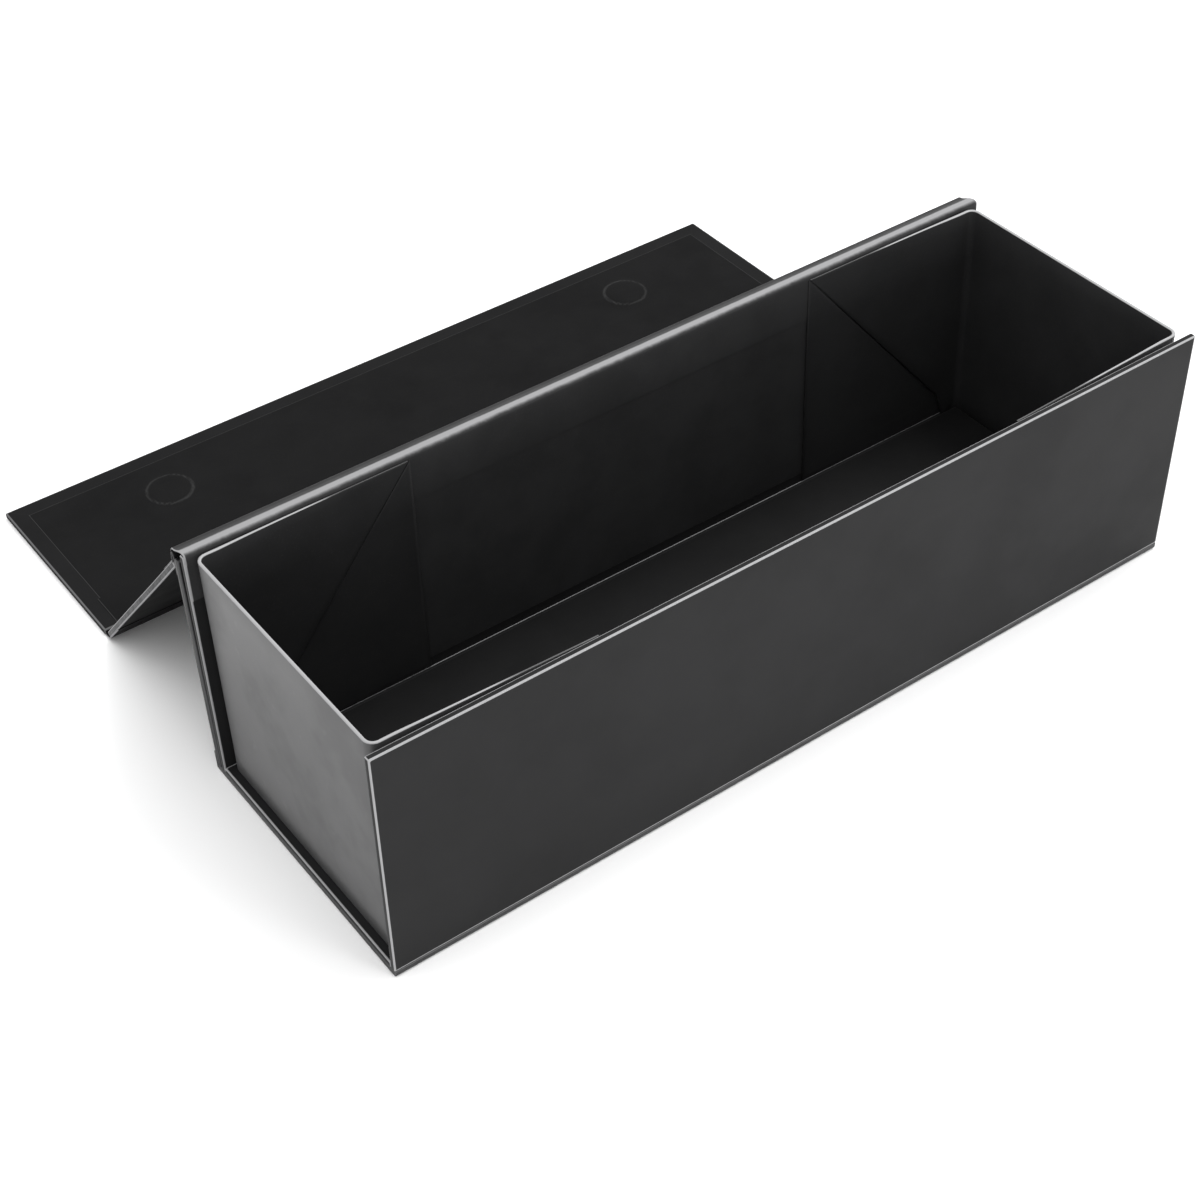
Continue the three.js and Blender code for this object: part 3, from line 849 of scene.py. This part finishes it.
def greyboardMaterial():
    material = bpy.data.materials.new("greyboard")
    material.use_nodes = True
    tree = material.node_tree
    shader = tree.nodes["Principled BSDF"]
    where = addNode(tree, "ShaderNodeTexCoord", -1200, 0).outputs["Object"]
    grain = placeGroup(tree, paperGrain, -900, 0, **{"Grain Scale": 1100.0, "Mottle Scale": 90.0})
    tree.links.new(where, grain.inputs["Vector"])
    colour = colourMix(tree, grain.outputs["Mottle"], (0.17, 0.145, 0.115), (0.24, 0.21, 0.17),
                       -500, 200)
    colour = colourMix(tree, grain.outputs["Speckle"], colour, (0.10, 0.085, 0.07), -300, 200)
    tree.links.new(colour, shader.inputs["Base Color"])
    tree.links.new(rampNode(tree, grain.outputs["Height"], 0.3, 0.9, 0.8, 0.95, -500, -100),
                   shader.inputs["Roughness"])
    bump = addNode(tree, "ShaderNodeBump", -300, -300)
    bump.inputs["Distance"].default_value = 0.1 * mm
    tree.links.new(grain.outputs["Height"], bump.inputs["Height"])
    tree.links.new(bump.outputs["Normal"], shader.inputs["Normal"])
    return material


def metalMaterial(name, colour, roughness):
    material = bpy.data.materials.new(name)
    material.use_nodes = True
    tree = material.node_tree
    shader = tree.nodes["Principled BSDF"]
    shader.inputs["Metallic"].default_value = 1.0
    where = addNode(tree, "ShaderNodeTexCoord", -1200, 0).outputs["Object"]
    marks = placeGroup(tree, handlingMarks, -900, 0, Scale=160.0)
    tree.links.new(where, marks.inputs["Vector"])
    darker = tuple(c * 0.8 for c in colour)
    tree.links.new(colourMix(tree, marks.outputs["Smudge"], colour, darker, -500, 200),
                   shader.inputs["Base Color"])
    tree.links.new(rampNode(tree, marks.outputs["Smudge"], 0, 1, *roughness, -500, -100),
                   shader.inputs["Roughness"])
    return material


def tapeMaterial():
    material = bpy.data.materials.new("adhesiveTape")
    material.use_nodes = True
    tree = material.node_tree
    shader = tree.nodes["Principled BSDF"]
    where = addNode(tree, "ShaderNodeTexCoord", -1200, 0).outputs["Object"]
    marks = placeGroup(tree, handlingMarks, -900, 0, Scale=120.0)
    tree.links.new(where, marks.inputs["Vector"])
    tree.links.new(colourMix(tree, marks.outputs["Smudge"], (0.62, 0.60, 0.52), (0.52, 0.50, 0.42),
                             -500, 200), shader.inputs["Base Color"])
    tree.links.new(rampNode(tree, marks.outputs["Smudge"], 0, 1, 0.3, 0.45, -500, -100),
                   shader.inputs["Roughness"])
    return material


carried = {
    "board": greyboardMaterial(),
    "magnet": metalMaterial("nickelPlate", (0.62, 0.61, 0.59), (0.18, 0.30)),
    "keeper": metalMaterial("steelPlate", (0.45, 0.45, 0.46), (0.34, 0.48)),
    "tape": tapeMaterial(),
}
for name, node in cadNodes.items():
    kind = name.rsplit("_", 1)[-1]
    if kind in carried:
        node.data.materials.clear()
        node.data.materials.append(carried[kind])
print("inside pieces finished")


# stage, lights and camera

def floorMaterial():
    material = bpy.data.materials.new("paleFloor")
    material.use_nodes = True
    tree = material.node_tree
    shader = tree.nodes["Principled BSDF"]
    where = addNode(tree, "ShaderNodeTexCoord", -900, 0).outputs["Object"]
    cloud = noiseNode(tree, where, 3.0, 2.0, 0.5, -600, 0)
    tree.links.new(colourMix(tree, cloud, (0.94, 0.94, 0.94), (0.95, 0.95, 0.95), -300, 0),
                   shader.inputs["Base Color"])
    shader.inputs["Roughness"].default_value = 0.8
    return material


stage = dict(size=14.0, below=0.4)
reach = stage["size"] / 2
floorMesh = bpy.data.meshes.new("floor")
floorMesh.from_pydata([(-reach, -reach, 0), (reach, -reach, 0), (reach, reach, 0), (-reach, reach, 0)],
                      [], [(0, 1, 2, 3)])
floor = bpy.data.objects.new("floor", floorMesh)
floor.location.z = -stage["below"] * mm
floorMesh.materials.append(floorMaterial())
bpy.context.scene.collection.objects.link(floor)


def softBox(name, place, target, size, power):
    light = bpy.data.lights.new(name, "AREA")
    light.shape = "RECTANGLE"
    light.size, light.size_y = size
    light.energy = power
    made = bpy.data.objects.new(name, light)
    made.location = place
    made.rotation_euler = (Vector(target) - Vector(place)).to_track_quat("-Z", "Y").to_euler()
    made.visible_camera = False
    bpy.context.scene.collection.objects.link(made)


# name: place, target, size and power
lights = {
    "topLight": ((-0.1, 0.0, 2.0), (0.0, 0.0, 0.0), (1.8, 1.8), 15.0),
    "keyLight": ((0.8, 0.1, 1.5), (0.0, 0.03, 0.0), (0.7, 0.7), 14.0),
    "leftLight": ((-1.4, 0.1, 0.5), (-0.1, 0.0, 0.05), (0.7, 0.6), 0.8),
    "frontLight": ((0.03, -0.5, 0.14), (0.0, 0.0, 0.06), (0.14, 0.1), 0.9),
}
for lightName, lightValues in lights.items():
    softBox(lightName, *lightValues)
studio = bpy.data.worlds.new("studio")
bpy.context.scene.world = studio
studio.use_nodes = True
studio.node_tree.nodes["Background"].inputs["Color"].default_value = (1.0, 1.0, 1.0, 1.0)
studio.node_tree.nodes["Background"].inputs["Strength"].default_value = 1.05

cameraAt = dict(place=(-0.380625, -0.468530, 0.566401), right=(0.80610082, -0.59146571, -0.01922964),
                up=(0.40605937, 0.5291906, 0.74503228), lens=66.71)
camera = bpy.data.objects.new("camera", bpy.data.cameras.new("camera"))
right, up = Vector(cameraAt["right"]), Vector(cameraAt["up"])
back = right.cross(up)
turn = Matrix((right, up, back)).transposed().to_4x4()
camera.matrix_world = Matrix.Translation(cameraAt["place"]) @ turn
camera.data.lens = cameraAt["lens"]
camera.data.sensor_width = 36.0
camera.data.clip_start = 0.01
bpy.context.scene.collection.objects.link(camera)
bpy.context.scene.camera = camera
bpy.context.scene.view_settings.view_transform = "Standard"
print("stage set")
